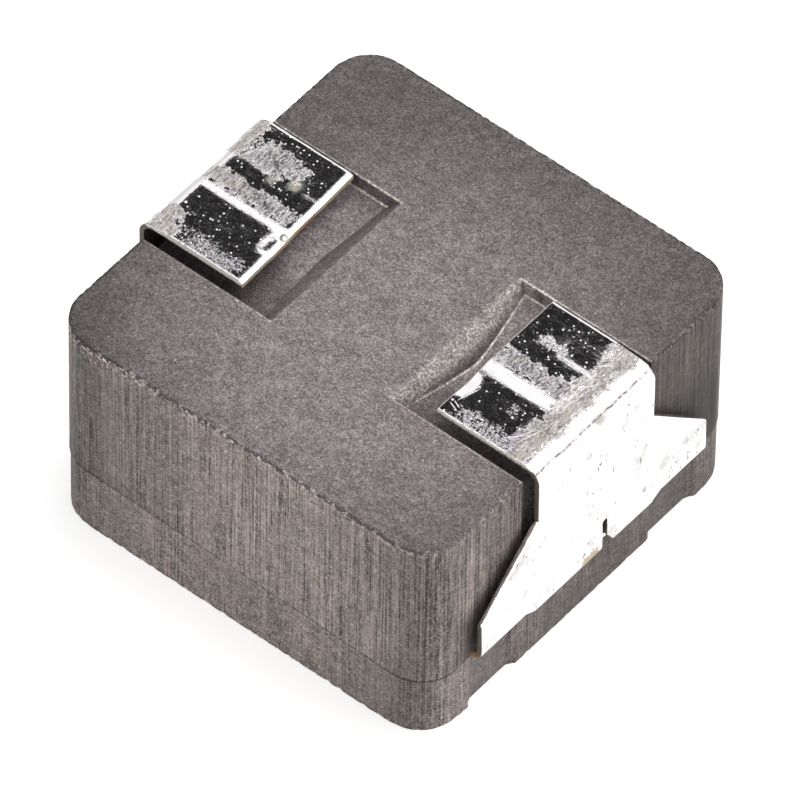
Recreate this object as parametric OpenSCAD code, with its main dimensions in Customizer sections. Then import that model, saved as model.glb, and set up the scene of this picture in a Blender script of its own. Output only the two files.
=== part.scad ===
// Moulded surface-mount power inductor, lying on its plain face with the solder
// side up. A flat-wire coil is pressed into one block of iron powder. Two tinned
// copper leads come out at the parting line, climb the sides and fold over the
// solder face.
// Origin: centre of the plain face. X runs from lead to lead, Z is up.

/* [Body] */
// Length of the pressed block, from lead side to lead side
body_l = 22.1; // [21:0.1:26]
// Width of the pressed block
body_w = 22; // [20:0.1:26]
// Height of the pressed block
body_h = 12.55; // [11.5:0.05:16]
// Radius of the four upright corners
corner_r = 2.1; // [0.5:0.1:3]
// Chamfer where the punches leave the top and bottom edges
edge_break = 0.04; // [0.02:0.01:0.3]
// Height of the parting line above the plain face
parting_z = 3.55; // [3:0.05:4.5]
// How far the band below the parting line stands back
band_step = 0.05; // [0.02:0.01:0.2]

/* [Pad seats] */
// Depth of each seat below the solder face
seat_depth = 0.83; // [0.4:0.01:1.2]
// Room between the end of a pad and the inner edge of its seat
seat_end_gap = 2.25; // [1.5:0.05:2.8]
// Room between the side of a pad and the wall of its seat
seat_side_gap = 0.47; // [0.2:0.01:1]
// Run of the start seat's sloping inner wall at the ends of the seat
start_run_end = 0.25; // [0.1:0.05:0.8]
// Run of that wall at the middle of the seat
start_run_mid = 1.2; // [0.8:0.05:1.6]
// Shape of that wall, from 0 for a flat slope to 1 for a quarter of an ellipse
start_roundness = 0.8; // [0:0.05:1]
// Run of the finish seat's sloping inner wall at the ends of the seat
finish_run_end = 0.8; // [0.1:0.05:1]
// Run of that wall at the middle of the seat
finish_run_mid = 1.1; // [0.8:0.05:1.6]
// Shape of that wall, from 0 for a flat slope to 1 for a quarter of an ellipse
finish_roundness = 0.1; // [0:0.05:1]
// How the foot of both walls bows out, from 1 for a point to 2 for a round bow
seat_bow = 1.25; // [1:0.05:2]
// Depth, at its top, of the tapered channel behind the upright plate
channel_depth = 0.45; // [0.1:0.05:0.8]
// Height at which that channel runs out
channel_end_z = 5; // [4.6:0.1:7]

/* [Band grooves] */
// Depth of the shallow grooves under the wings of the leads
groove_depth = 0.24; // [0.1:0.01:0.5]
// Run of the slanted walls of a groove
groove_wall_run = 0.5; // [0.2:0.05:0.8]
// How far a groove reaches past the end of the wing above it
groove_overrun = 0.15; // [0:0.01:0.4]

/* [Leads] */
// Thickness of the tinned copper strip
lead_t = 0.28; // [0.2:0.01:0.4]
// Width of the solder pad and of the neck below it
pad_w = 8.15; // [6:0.05:9]
// Length of the solder pad, from its end to the outside of the upright plate
pad_len = 5.95; // [4.5:0.05:7]
// How far the end of the finish pad is out of square, in degrees
tip_skew = 2.2; // [0:0.1:4]
// Gap between the side of the block and the upright plate
side_gap = 0.34; // [0.2:0.01:0.6]
// Gap between the solder face of the block and the pad
top_gap = 0.34; // [0.2:0.01:0.6]
// Inside radius of the bend at the solder face
top_bend_r = 0.64; // [0.3:0.01:1]
// Width over the wings of the upright plate
wing_w = 15.9; // [14:0.1:17]
// Height at which the straight ends of the wings stop
wing_top_z = 5.94; // [5.2:0.02:7]
// Slope of the flare between neck and wings, in degrees
flare_angle = 44.5; // [30:0.5:50]
// Radius on the outer corner of each wing
wing_corner_r = 0.2; // [0.1:0.05:0.6]
// How much lower the middle of a lead leaves the block than its wings
joggle_drop = 0.35; // [0.1:0.01:0.5]
// Sideways run of the slope between that middle and the wings
joggle_run = 0.65; // [0.4:0.05:0.8]
// Space between that slope and the end of the wire beside it
joggle_gap = 0.1; // [0.05:0.01:0.3]
// Width of the slit that opens the lower edge
slit_w = 0.32; // [0.2:0.01:0.6]
// Place of the slit, sideways from the middle
slit_y = 0.74; // [0.4:0.02:2]
// Height at which the slit ends
slit_top_z = 5.54; // [4.8:0.02:6.5]
// Width of the nick beside the foot of the slit
nick_w = 0.75; // [0.3:0.05:1.2]
// Height of that nick
nick_h = 1.15; // [0.5:0.05:1.4]
// Length of lead inside the block
tab_depth = 4; // [3:0.1:4.4]
// Space between the coil and the curved inner edge of a lead
tab_coil_gap = 0.5; // [0.3:0.05:1]

/* [Winding] */
// Whole turns of the coil
turns = 7; // [4:1:8]
// Inside radius of the coil
coil_in_r = 4.95; // [4.5:0.05:5.5]
// Width of the flat wire
wire_w = 2.9; // [2:0.1:3.2]
// Thickness of the flat wire
wire_t = 0.8; // [0.5:0.05:0.9]
// Space between turns, filled by their enamel
turn_gap = 0.06; // [0.04:0.01:0.15]
// Enamel between the wire and the powder round it
enamel = 0.05; // [0.03:0.01:0.1]
// Powder left between the ends of the wire and the side of the block
end_cover = 1.45; // [1:0.05:2]
// Inside radius of the bend in the finish end of the wire
wire_bend_r = 0.8; // [0.5:0.05:1.2]

/* [Hidden] */

// Facets of a full circle
round_fn = 96;
// Steps in one turn of the coil, in the wire's bend and in a wing's corner
turn_steps = 36;
bend_steps = 6;
corner_steps = 4;
// Steps along and down the sloping wall of a seat
slope_cols = 24;
slope_rows = 7;
// Distance by which cutting shapes run past what they cut
over = 1;
// How far the uprights of the foot and the plate above them share the same strip
foot_lap = 0.25;

face_x = body_l / 2;
plate_out_x = face_x + side_gap + lead_t;
pad_top_z = body_h + top_gap + lead_t;
pad_tip_x = plate_out_x - pad_len;
top_bend_out_r = top_bend_r + lead_t;
foot_out_r = side_gap + lead_t;
seat_edge_x = pad_tip_x - seat_end_gap;
seat_w = pad_w + 2 * seat_side_gap;
flare_top_z = wing_top_z + (wing_w - pad_w) / 2 * tan(flare_angle);

coil_out_r = coil_in_r + wire_w;
coil_mid_r = coil_in_r + wire_w / 2;
turn_pitch = wire_t + turn_gap;
// The straight ends of the wire keep the slope of the coil until they are clear of
// the turns above and below them
clear_x = sqrt(pow(coil_out_r, 2) - pow(coil_in_r, 2));
end_drop = turn_pitch * clear_x / (2 * PI * coil_mid_r);
start_z = parting_z - wire_t;
coil_low_z = start_z + end_drop;
finish_z = coil_low_z + turns * turn_pitch + end_drop;
coil_top_z = coil_low_z + turns * turn_pitch + wire_t;
wire_end_x = face_x - end_cover;
lead_y = -coil_mid_r;
tab_x = max(face_x - tab_depth, clear_x);

mid_z = parting_z - joggle_drop;
joggle_end_y = coil_in_r - joggle_gap;
joggle_y = joggle_end_y - joggle_run;
joggle_angle = atan(joggle_drop / joggle_run);

powder_body();
winding();
start_terminal();
finish_terminal();

// ---- Pressed block ----

module powder_body() {
    color([0.43, 0.40, 0.39]) difference() {
        pressed_block();
        coil_pocket();
        seat_cut(start_run_end, start_run_mid, start_roundness);
        side_cuts();
        terminal(0);
        rotate([0, 0, 180]) {
            seat_cut(finish_run_end, finish_run_mid, finish_roundness);
            side_cuts();
            terminal(tip_skew);
        }
    }
}

// The whole block: band, parting line and broken edges, with round upright corners
module pressed_block() {
    rotate([90, 0, 0]) linear_extrude(body_w - 2 * corner_r, center = true)
        polygon(mirrored(block_side(face_x)));
    rotate([90, 0, 90]) linear_extrude(body_l - 2 * corner_r, center = true)
        polygon(mirrored(block_side(body_w / 2)));
    for (x = [-1, 1], y = [-1, 1])
        translate([x * (face_x - corner_r), y * (body_w / 2 - corner_r), 0])
            rotate_extrude($fn = round_fn)
                polygon(concat([[0, 0]], block_side(corner_r), [[0, body_h]]));
}

// Side of the block from bottom to top, at a given distance from the middle
function block_side(out) = [
    [out - band_step - edge_break, 0], [out - band_step, edge_break],
    [out - band_step, parting_z], [out, parting_z],
    [out, body_h - edge_break], [out - edge_break, body_h]
];

// An open outline closed by its own mirror image
function mirrored(half) = concat(half, [
    for (i = [len(half) - 1:-1:0]) [-half[i][0], half[i][1]]
]);

// Recess in the solder face under one pad, open at the side of the block
module seat_cut(run_end, run_mid, roundness) {
    difference() {
        translate([seat_edge_x, -seat_w / 2, body_h - seat_depth])
            cube([face_x - seat_edge_x + over, seat_w, seat_depth + over]);
        seat_slope(run_end, run_mid, roundness);
    }
}

// Inner wall of a seat. It reaches further out in the middle than at its ends, and
// the rounder it is, the softer its upper edge and the steeper its foot
module seat_slope(run_end, run_mid, roundness) {
    half_w = seat_w / 2;
    low_z = body_h - seat_depth;
    skin([for (j = [0:slope_cols])
        let (y = (half_w + over) * (2 * j / slope_cols - 1),
             bulge = max(0, 1 - pow(abs(y) / half_w, seat_bow)),
             run = run_end + (run_mid - run_end) * bulge)
        concat(
            [for (i = [0:slope_rows])
                let (angle = 90 * i / slope_rows, down = 1 - cos(angle),
                     out = down + (sin(angle) - down) * roundness)
                    [seat_edge_x + run * out, y, body_h - seat_depth * down]],
            [[seat_edge_x + run, y, low_z - over],
             [seat_edge_x - over, y, low_z - over], [seat_edge_x - over, y, body_h]]
        )
    ]);
}

// What the lead leaves free on the side of the block
module side_cuts() {
    channel_cut();
    groove_cuts();
}

// Tapered channel down the side of the block behind the upright plate
module channel_cut() {
    deep_x = face_x - channel_depth;
    rotate([90, 0, 0]) linear_extrude(seat_w, center = true)
        polygon([[face_x, channel_end_z], [face_x + over, channel_end_z],
                 [face_x + over, body_h + over], [deep_x, body_h + over],
                 [deep_x, body_h - seat_depth]]);
}

// Two shallow grooves in the band, under the wings of one lead
module groove_cuts() {
    floor_x = face_x - band_step - groove_depth;
    mouth_x = floor_x + groove_depth + over;
    floor_in = joggle_end_y + groove_wall_run / 2;
    floor_out = wing_w / 2 + groove_overrun - groove_wall_run;
    spread = (mouth_x - floor_x) * groove_wall_run / groove_depth;
    both_sides() translate([0, 0, -over]) linear_extrude(parting_z + over)
        polygon([[floor_x, floor_in], [floor_x, floor_out],
                 [mouth_x, floor_out + spread], [mouth_x, floor_in - spread]]);
}

module both_sides() {
    children();
    mirror([0, 1, 0]) children();
}

// Space that the coil, its two ends and their enamel fill
module coil_pocket() {
    low = coil_low_z - enamel;
    rotate_extrude($fn = round_fn)
        translate([coil_in_r - enamel, low])
            square([wire_w + 2 * enamel, coil_top_z + enamel - low]);
    translate([0, lead_y, 0]) {
        end_pocket(start_z, coil_low_z, wire_end_x + enamel);
        mirror([1, 0, 0]) {
            end_pocket(finish_z, finish_z - end_drop, wire_end_x - wire_bend_r - wire_t);
            bend_pocket();
        }
    }
}

// Space for a straight end of the wire, from the coil at the middle outwards
module end_pocket(end_z, coil_z, end_x) {
    rotate([90, 0, 0]) linear_extrude(wire_w + 2 * enamel, center = true)
        polygon([[0, coil_z - enamel], [clear_x, end_z - enamel], [end_x, end_z - enamel],
                 [end_x, end_z + wire_t + enamel], [clear_x, end_z + wire_t + enamel],
                 [0, coil_z + wire_t + enamel]]);
}

// Space for the finish end where it turns down and stands on its lead
module bend_pocket() {
    bend_x = wire_end_x - wire_t - wire_bend_r;
    bend_z = finish_z - wire_bend_r;
    translate([bend_x, 0, bend_z]) rotate([90, 0, 0])
        rotate_extrude(angle = 90, $fn = round_fn)
            translate([wire_bend_r - enamel, -wire_w / 2 - enamel])
                square([wire_t + 2 * enamel, wire_w + 2 * enamel]);
    translate([wire_end_x - wire_t - enamel, -wire_w / 2 - enamel, parting_z])
        cube([wire_t + 2 * enamel, wire_w + 2 * enamel, bend_z - parting_z]);
}

// ---- Coil of flat wire ----

// One length of wire: in from the start lead, round the coil, on over the block
// and down to the finish lead
module winding() {
    color([0.72, 0.42, 0.20]) skin(concat(start_end(), coil_turns(), finish_end()));
}

// Corners of the wire at a point, from the directions of its width and thickness
function wire_section(centre, across, up) = [
    for (k = [[-1, -1], [1, -1], [1, 1], [-1, 1]])
        centre + k[0] * wire_w / 2 * across + k[1] * wire_t / 2 * up
];

function flat_section(x, low_z) =
    wire_section([x, lead_y, low_z + wire_t / 2], [0, -1, 0], [0, 0, 1]);

function start_end() = [flat_section(wire_end_x, start_z), flat_section(clear_x, start_z)];

function coil_turns() = [
    for (i = [0:turns * turn_steps])
        let (angle = -90 - 360 * i / turn_steps,
             out = [cos(angle), sin(angle), 0],
             low_z = coil_low_z + turn_pitch * i / turn_steps)
        wire_section(coil_mid_r * out + [0, 0, low_z + wire_t / 2], out, [0, 0, 1])
];

function finish_end() =
    let (r = wire_bend_r + wire_t / 2,
         centre = [wire_t / 2 + r - wire_end_x, lead_y, finish_z + wire_t / 2 - r])
    concat(
        [flat_section(-clear_x, finish_z)],
        [for (i = [0:bend_steps])
            let (angle = 90 + 90 * i / bend_steps, up = [cos(angle), 0, sin(angle)])
                wire_section(centre + r * up, [0, -1, 0], up)],
        [wire_section([centre[0] - r, lead_y, parting_z + lead_t], [0, -1, 0], [-1, 0, 0])]
    );

// Solid through a row of sections that all have the same number of corners, listed
// anticlockwise as seen from the far end
module skin(sections) {
    n = len(sections[0]);
    last = (len(sections) - 1) * n;
    polyhedron(
        points = [for (s = sections, p = s) p],
        faces = concat(
            [[for (k = [0:n - 1]) k]],
            [for (s = [0:n:last - n], k = [0:n - 1]) each let (next = (k + 1) % n)
                [[s + k, s + n + k, s + n + next], [s + k, s + n + next, s + next]]],
            [[for (k = [n - 1:-1:0]) last + k]]
        )
    );
}

// ---- Leads ----

module start_terminal() {
    color([0.86, 0.86, 0.84]) terminal(0);
}

module finish_terminal() {
    color([0.86, 0.86, 0.84]) rotate([0, 0, 180]) terminal(tip_skew);
}

// One lead, stamped and bent from strip, on the side of the block that faces +X
module terminal(skew) {
    difference() {
        union() {
            pad(skew);
            upright_plate();
            foot();
        }
        slit_cut();
        nick_cut();
    }
}

// Solder pad with its bend, the end cut square or a little askew
module pad(skew) {
    bend_x = plate_out_x - top_bend_out_r;
    shift = pad_w / 2 * tan(skew);
    translate([0, 0, pad_top_z - lead_t]) linear_extrude(lead_t)
        polygon([[pad_tip_x + shift, -pad_w / 2], [bend_x, -pad_w / 2],
                 [bend_x, pad_w / 2], [pad_tip_x - shift, pad_w / 2]]);
    translate([bend_x, 0, pad_top_z - top_bend_out_r]) quarter_bend(top_bend_r, pad_w);
}

// A quarter ring of strip about Y, from level at its top to upright at its outside
module quarter_bend(r, w) {
    rotate([90, 0, 0]) rotate_extrude(angle = 90, $fn = round_fn)
        translate([r, -w / 2]) square([lead_t, w]);
}

// Upright plate: neck, flare and wings, down to where the foot bends away
module upright_plate() {
    wing_y = wing_w / 2;
    half = concat(
        [[wing_y, parting_z + foot_out_r + foot_lap]],
        wing_corner(wing_y),
        [[pad_w / 2, flare_top_z], [pad_w / 2, pad_top_z - top_bend_out_r]]
    );
    translate([plate_out_x - lead_t, 0, 0]) rotate([90, 0, 90])
        linear_extrude(lead_t) polygon(mirrored(half));
}

// Points that round the corner between the upright end of a wing and the flare
function wing_corner(wing_y) =
    let (turn = 90 - flare_angle,
         centre = [wing_y - wing_corner_r, wing_top_z - wing_corner_r * tan(turn / 2)])
    [for (i = [0:corner_steps])
        let (angle = turn * i / corner_steps)
            centre + wing_corner_r * [cos(angle), sin(angle)]];

// Foot of the lead: it turns under and runs into the block, lower in the middle
// than under the wings, and ends in an arc that follows the coil
module foot() {
    slant = sqrt(pow(joggle_run, 2) + pow(joggle_drop, 2));
    difference() {
        union() {
            difference() {
                translate([0, 0, mid_z]) foot_strip(-joggle_end_y, joggle_end_y);
                both_sides() past_mitre(joggle_y, mid_z);
            }
            both_sides() difference() {
                intersection() {
                    translate([0, joggle_y, mid_z]) rotate([joggle_angle, 0, 0])
                        foot_strip(-over, slant + over);
                    past_mitre(joggle_y, mid_z);
                }
                past_mitre(joggle_end_y, parting_z);
            }
            both_sides() intersection() {
                translate([0, 0, parting_z]) foot_strip(joggle_y, wing_w / 2);
                past_mitre(joggle_end_y, parting_z);
            }
        }
        cylinder(h = body_h, r = coil_out_r + tab_coil_gap, $fn = round_fn);
    }
}

// A straight length of foot, with the underside of its tab at height 0
module foot_strip(y0, y1) {
    translate([tab_x, y0, 0]) cube([face_x - tab_x, y1 - y0, lead_t]);
    translate([face_x, (y0 + y1) / 2, foot_out_r]) rotate([0, 90, 0])
        quarter_bend(side_gap, y1 - y0);
    translate([plate_out_x - lead_t, y0, foot_out_r])
        cube([lead_t, y1 - y0, joggle_drop + 2 * foot_lap]);
}

// Everything beyond the plane in which two lengths of foot meet at a joggle line
module past_mitre(y, z) {
    translate([0, y, z]) rotate([joggle_angle / 2, 0, 0])
        translate([0, 0, -body_h]) cube([body_l, body_w, 2 * body_h]);
}

// Slit up from the inner edge, with a round end
module slit_cut() {
    end_z = slit_top_z - slit_w / 2;
    low_z = mid_z - over;
    x0 = tab_x - over;
    x1 = plate_out_x + over;
    translate([x0, slit_y - slit_w / 2, low_z]) cube([x1 - x0, slit_w, end_z - low_z]);
    translate([x0, slit_y, end_z]) rotate([0, 90, 0])
        cylinder(h = x1 - x0, d = slit_w, $fn = round_fn);
}

// Nick at the foot of the slit, outside the block
module nick_cut() {
    tip_y = slit_y + slit_w / 2 + nick_w;
    translate([face_x, 0, 0]) rotate([90, 0, 90]) linear_extrude(foot_out_r + over)
        polygon([[slit_y, mid_z - over], [tip_y, mid_z - over], [tip_y, mid_z],
                 [slit_y + slit_w / 2, mid_z + nick_h], [slit_y, mid_z + nick_h]]);
}
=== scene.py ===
"""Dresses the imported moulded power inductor: a pressed iron powder block with two
tinned leads, lying solder side up on a white floor."""

import math

import bmesh
import bpy
from mathutils import Matrix, Vector, noise


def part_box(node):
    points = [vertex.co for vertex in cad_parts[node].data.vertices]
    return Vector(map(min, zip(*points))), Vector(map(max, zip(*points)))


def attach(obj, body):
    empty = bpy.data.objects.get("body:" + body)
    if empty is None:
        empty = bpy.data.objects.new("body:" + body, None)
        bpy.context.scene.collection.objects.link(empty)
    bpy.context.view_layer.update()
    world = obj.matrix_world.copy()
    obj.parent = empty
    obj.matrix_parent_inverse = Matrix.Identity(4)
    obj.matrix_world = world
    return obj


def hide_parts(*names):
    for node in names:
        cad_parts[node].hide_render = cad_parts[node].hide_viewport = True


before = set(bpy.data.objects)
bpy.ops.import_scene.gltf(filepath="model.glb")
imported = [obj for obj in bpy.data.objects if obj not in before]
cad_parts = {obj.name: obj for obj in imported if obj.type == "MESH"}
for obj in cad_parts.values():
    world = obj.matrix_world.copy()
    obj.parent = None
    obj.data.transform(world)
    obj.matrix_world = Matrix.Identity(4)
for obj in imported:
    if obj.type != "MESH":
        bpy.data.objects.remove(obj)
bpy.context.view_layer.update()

MM = 0.001

# ---- Camera: how the block is seen, in block widths and degrees ----
BLOCK_W = 22.0 * MM
CAMERA_AZIMUTH = 38.9905
CAMERA_ELEVATION = 49.9626
CAMERA_ROLL = 0.92525
CAMERA_DISTANCE = 32.5968578
CAMERA_SLIDE_RIGHT = 0.0106
CAMERA_SLIDE_UP = -0.0200
CAMERA_LENS = 716.28
SENSOR_W = 36.0
# Nearest and farthest thing that the camera sees, in metres
CAMERA_CLIP = (0.01, 10.0)

# ---- Studio, in metres ----
FLOOR_HALF_W = 1.5
FLOOR_DROP = 0.01 * MM
FLOOR_GLOW = 0.45
FLOOR_ROUGH = 0.9
# Light of the studio all round, and what shiny metal sees of it: white walls with a
# dark opening on the far side, grey on its left
WORLD_LIGHT = 0.36
WALL_LIGHT = 1.15
OPENING_LIGHT = 0.02
OPENING_WAY = (-0.405, 0.50, 0.766)
# The opening's soft border, in degrees from its middle
OPENING_EDGE = (5.5, 9.0)
LEFT_LIGHT = 0.7
# Where the grey turns white, as the x part of the direction
LEFT_EDGE = (-0.85, -0.50)
# Soft boxes: name, direction from the block, distance, size and level of light
SOFT_BOXES = (("overhead_soft_box", (0.15, 0.15, 1.0), 0.40, 0.22, 0.32),
              ("far_right_soft_box", (0.40, 0.60, 0.70), 0.40, 0.14, 0.30),
              ("front_soft_box", (0.10, -0.80, 0.55), 0.40, 0.20, 0.34))

# ---- Colours, as 8-bit values of the lit surface ----
POWDER_TOP = (137, 128, 128)
POWDER_SIDE = (129, 119, 114)
# Painted highlights in the seats: on their burnished shoulders, and along their edges
SEAT_SHINE = (196, 192, 184)
SEAT_EDGE_HIGHLIGHT = (220, 214, 206)
TIN = (243, 239, 241)
TIN_DULL = (222, 217, 222)
# Painted dark reflection in the frosted patches of the pads
TIN_DARK_REFLECTION = (58, 52, 64)
TIN_BEIGE = (198, 191, 180)
TIN_PURPLE = (112, 104, 128)
TIN_SMUDGE = (196, 197, 192)
TIN_TARNISH = (112, 106, 100)
TIN_CUT = (228, 225, 214)
CUT_FOOT = (84, 78, 68)
END_CUT = (204, 192, 170)
CREAM = (216, 206, 158)
COPPER = (205, 122, 66)
COPPER_DARK = (150, 74, 36)
RUST = (196, 128, 78)
OCHRE = (172, 138, 58)
OLIVE = (150, 144, 118)
FLOOR = (243, 243, 243)

# ---- Places on the block, in mm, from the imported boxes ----
BODY_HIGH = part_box("powder_body")[1] / MM
LEAD_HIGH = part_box("start_terminal")[1] / MM
TOP_Z = BODY_HIGH.z
PAD_Z = LEAD_HIGH.z
CORNER_R = 2.1
STRAIGHT_X = BODY_HIGH.x - CORNER_R
STRAIGHT_Y = BODY_HIGH.y - CORNER_R
PARTING_Z = 3.55
PAD_HALF_W = 4.075
PAD_TIP_X = LEAD_HIGH.x - 5.95
BEND_X = LEAD_HIGH.x - 0.92
# The finish pad's end is cut out of square by this slope
TIP_SKEW = 0.0384
# The seats below the pads: inner edge, half width and floor
SEAT_X = 3.47
SEAT_HALF_W = PAD_HALF_W + 0.47
SEAT_FLOOR_Z = TOP_Z - 0.83
# How far the start seat's slope runs out at its ends and in its middle, and its bow's power
START_RUN_END = 0.25
START_RUN_MID = 1.2
SEAT_BOW = 1.25
# The leads' wings: end, upper corner and slope of the flare between neck and wing
WING_END_Y = 7.95
WING_TOP_Z = 5.94
FLARE_SLOPE = math.radians(44.5)

# ---- Wear, in mm ----
# Wear is full down to the first depth inside the outline and gone at the second
WEAR_REACH = (0.1, 0.9)
DRAG_DEPTH = 0.006
# The ragged lip just above the parting line is full up to the first height from its
# middle and gone at the second
LIP_DEPTH = 0.045
LIP_Z = PARTING_Z + 0.03
LIP_HALF_H = (0.02, 0.16)
CRUMB_DEPTH = 0.07
BITE_DEPTH = 0.08
FOOT_CRUMB_DEPTH = 0.06
# Up to this height the foot is brought out to the outline, where it stands back by less
# than this depth
FLARE_Z = 1.2
FLARE_DEPTH = 0.12
# The two halves of the die met a little out of level: rise of the parting line at x = 0,
# its tilt along x, and from where to where in y it sets in
PARTING_RISE = 0.07
PARTING_TILT = -0.0165
PARTING_SET_IN = (8.2, 9.6)

# ---- Waves of the pads, in mm ----
# Each pad steps up along its middle, with a ridge beside the step and a dent at the tip
START_STEP_H = 0.105
START_RIDGE_H = 0.042
START_FALL_H = 0.03
START_DENT_H = 0.08
FINISH_STEP_H = 0.055
FINISH_RIDGE_H = 0.02
FINISH_DENT_H = 0.05
# The finish pad's end droops by this much over this length
DROOP_H = 0.07
DROOP_RUN = 0.25
UNEVEN_H = 0.008
# Dents in the upright plates
PLATE_DENT = 0.02

# Deepest drag marks on the front side: place in x, from and to in z, in mm, and depth
DRAG_MARKS = ((0.9, 4.2, 11.6, 0.35), (3.9, 5.0, 10.0, 0.5), (-7.6, 6.0, 12.0, 0.3),
              (6.3, 4.0, 9.5, 0.25), (-3.2, 7.0, 12.0, 0.2))

# Frosted patches on the pads, which also carry the painted dark reflection: from and to in x
# and y, in mm, and how frosted
START_FROST = ((5.5, 10.9, -0.25, 0.75, 0.95), (6.5, 8.1, 1.75, 2.4, 0.6),
               (6.4, 11.0, -4.4, -3.1, 0.4), (7.8, 8.6, -2.2, -1.7, 0.4),
               (9.5, 10.9, -4.3, 4.3, 1.0))
FINISH_FROST = ((-10.4, -8.3, 1.6, 3.2, 0.95), (-11.2, -6.2, -0.35, 0.6, 0.95),
                (-9.6, -6.0, -4.3, -3.1, 0.4), (-11.8, -10.6, 1.5, 4.3, 0.9),
                (-8.9, -7.2, 1.9, 2.8, 0.75), (-11.2, -10.0, -4.3, -2.4, 0.85))
# Stains: colour, from and to in x, y and z, in mm, and strength
START_STAINS = ((TIN_SMUDGE, (11.3, 11.9), (-0.3, 0.55), (3.0, 5.2), 0.4),
                (OCHRE, (11.3, 11.9), (-0.8, 0.3), (3.0, 4.1), 1.0),
                (OLIVE, (11.3, 11.9), (0.9, 1.7), (3.0, 4.7), 0.4),
                (RUST, (10.8, 11.6), (-8.1, -7.3), (3.0, 3.9), 0.7),
                (OLIVE, (11.2, 11.8), (0.1, 0.7), (12.5, 12.9), 0.7))
FINISH_STAINS = ((RUST, (-6.0, -5.0), (-0.3, 1.2), (12.3, 13.1), 0.95),
                 (RUST, (-6.0, -5.0), (-1.6, -1.0), (12.3, 13.1), 0.7),
                 (CREAM, (-7.7, -7.2), (1.6, 2.1), (12.8, 13.6), 0.8),
                 (CREAM, (-8.7, -8.3), (1.2, 1.6), (12.8, 13.6), 0.7))
# Bright scratches on the start pad: from and to, in mm
SCRATCHES = (((5.85, -3.35), (6.55, -3.6)), ((5.95, -3.15), (6.5, -3.4)),
             ((6.5, -1.8), (6.05, -3.2)), ((9.6, -3.5), (10.15, -1.8)),
             ((9.3, -3.3), (9.95, -2.0)), ((8.9, -3.6), (9.9, -2.5)),
             ((9.9, -0.3), (9.5, -0.95)), ((9.7, 0.9), (10.3, 1.5)),
             ((9.5, 2.3), (10.2, 3.0)))
# The ring mark on the finish pad: middle and radius in mm
RING_MIDDLE = (-5.87, -0.8, 0)
RING_R = 0.14
# The scuff along the start lead's outer bend: height in mm
SCUFF_Z = 12.80

# ---- Fineness of the dressed meshes, in mm ----
WELD = 2e-4
COLUMN = 0.11
LEAD_COLUMN = 0.16
LEAD_ROW = 0.4
# Stretches of a lead that are cut: its pad from here to the bend, its plate in height
PAD_START_X = 5.6
PLATE_Z = (4.2, 12.2)
BODY_ROWS = (0.05, 0.12, 0.25, 0.5, 1.0, 1.7, 2.4, 3.0, 3.3, 3.45, 3.62, 3.72, 3.9, 4.4, 5.2,
             6.4, 7.8, 9.2, 10.4, 11.3, 11.9, 12.25, 12.38, 12.45, 12.49)
RIM_RINGS = (0.05, 0.06, 0.09)
FOOT_RING = 0.3
SEAT_EDGE_R = 0.05
LEAD_EDGE_R = 0.035
# Edges that turn more than this are rounded on the seats, rounded on the leads, shaded
# as sharp, and kept when flat faces are joined
SEAT_EDGE_TURN = math.radians(30)
LEAD_EDGE_TURN = math.radians(50)
SHARP_TURN = math.radians(38)
FLAT_TURN = math.radians(0.2)
# Of the level faces, only the solder face and the plain face are larger, in mm2
LARGE_FACE = 100
# Faces with their middle less deep than this belong to the outline
SKIN = 0.12

# ---- Textures: features per mm, relief in mm, and roughness ----
GRAINS = 14.0
COARSE_GRAINS = 5.5
FINE_GRAINS = 11.0
GLINTS = 7.0
BROKEN_GRAINS = 10.0
LUMPS = 6.5
PARTING_CRUMBS = 6.0
HAIRLINES = 11.0
DASHES = 9.0
DRAGS = 2.4
SWATHS = 0.7
CRYSTALS = 9.0
RIPPLES = 2.6
PIMPLES = 2.6
DOTS = 8.0
GRAIN_RELIEF = 0.026
STREAK_RELIEF = 0.035
RIPPLE_RELIEF = 0.01
CRYSTAL_RELIEF = 0.05
DRAWN_RELIEF = 0.004
PIMPLE_RELIEF = 0.025
DOT_RELIEF = 0.012
ENAMEL_RELIEF = 0.01
POWDER_ROUGH = (0.5, 0.75)
POWDER_GLOSS = 0.3
WIRE_ROUGH = (0.25, 0.4)
# Roughness that frost, marks and sheared edges add to the tin's
FROST_ROUGH = 0.22
MARK_ROUGH = 0.2
CUT_ROUGH = 0.45
# Nearly all values of a noise texture lie between these
NOISE_RANGE = (0.3, 0.7)


def linear(colour):
    """An 8-bit colour as linear RGBA."""
    def channel(c):
        c = c / 255
        return c / 12.92 if c <= 0.04045 else ((c + 0.055) / 1.055) ** 2.4
    return tuple(channel(c) for c in colour) + (1.0,)


def ease(value, low, high):
    """0 below low, 1 above high, and a smooth step between them."""
    t = min(max((value - low) / (high - low), 0.0), 1.0)
    return t * t * (3 - 2 * t)


def wobble(x, y, z, seed=0.0):
    """Smooth noise from about -1 to 1."""
    return noise.noise(Vector((x + 31.7 * seed, y - 17.3 * seed, z + 11.9 * seed)))


# ---- Dressed meshes ----

def flat_copy(name):
    """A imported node's mesh in mm, its corners welded and its flat faces joined."""
    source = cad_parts[name].data
    plain = bpy.data.meshes.new(name + "_copy")
    plain.from_pydata([v.co / MM for v in source.vertices], [],
                      [tuple(p.vertices) for p in source.polygons])
    mesh = bmesh.new()
    mesh.from_mesh(plain)
    bpy.data.meshes.remove(plain)
    bmesh.ops.remove_doubles(mesh, verts=mesh.verts, dist=WELD)
    bmesh.ops.dissolve_limit(mesh, angle_limit=FLAT_TURN, verts=mesh.verts, edges=mesh.edges)
    return mesh


def steps(low, high, pitch):
    """Even places between low and high, about one pitch apart, without the two ends."""
    count = max(1, round((high - low) / pitch))
    return [low + (high - low) * i / count for i in range(1, count)]


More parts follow.
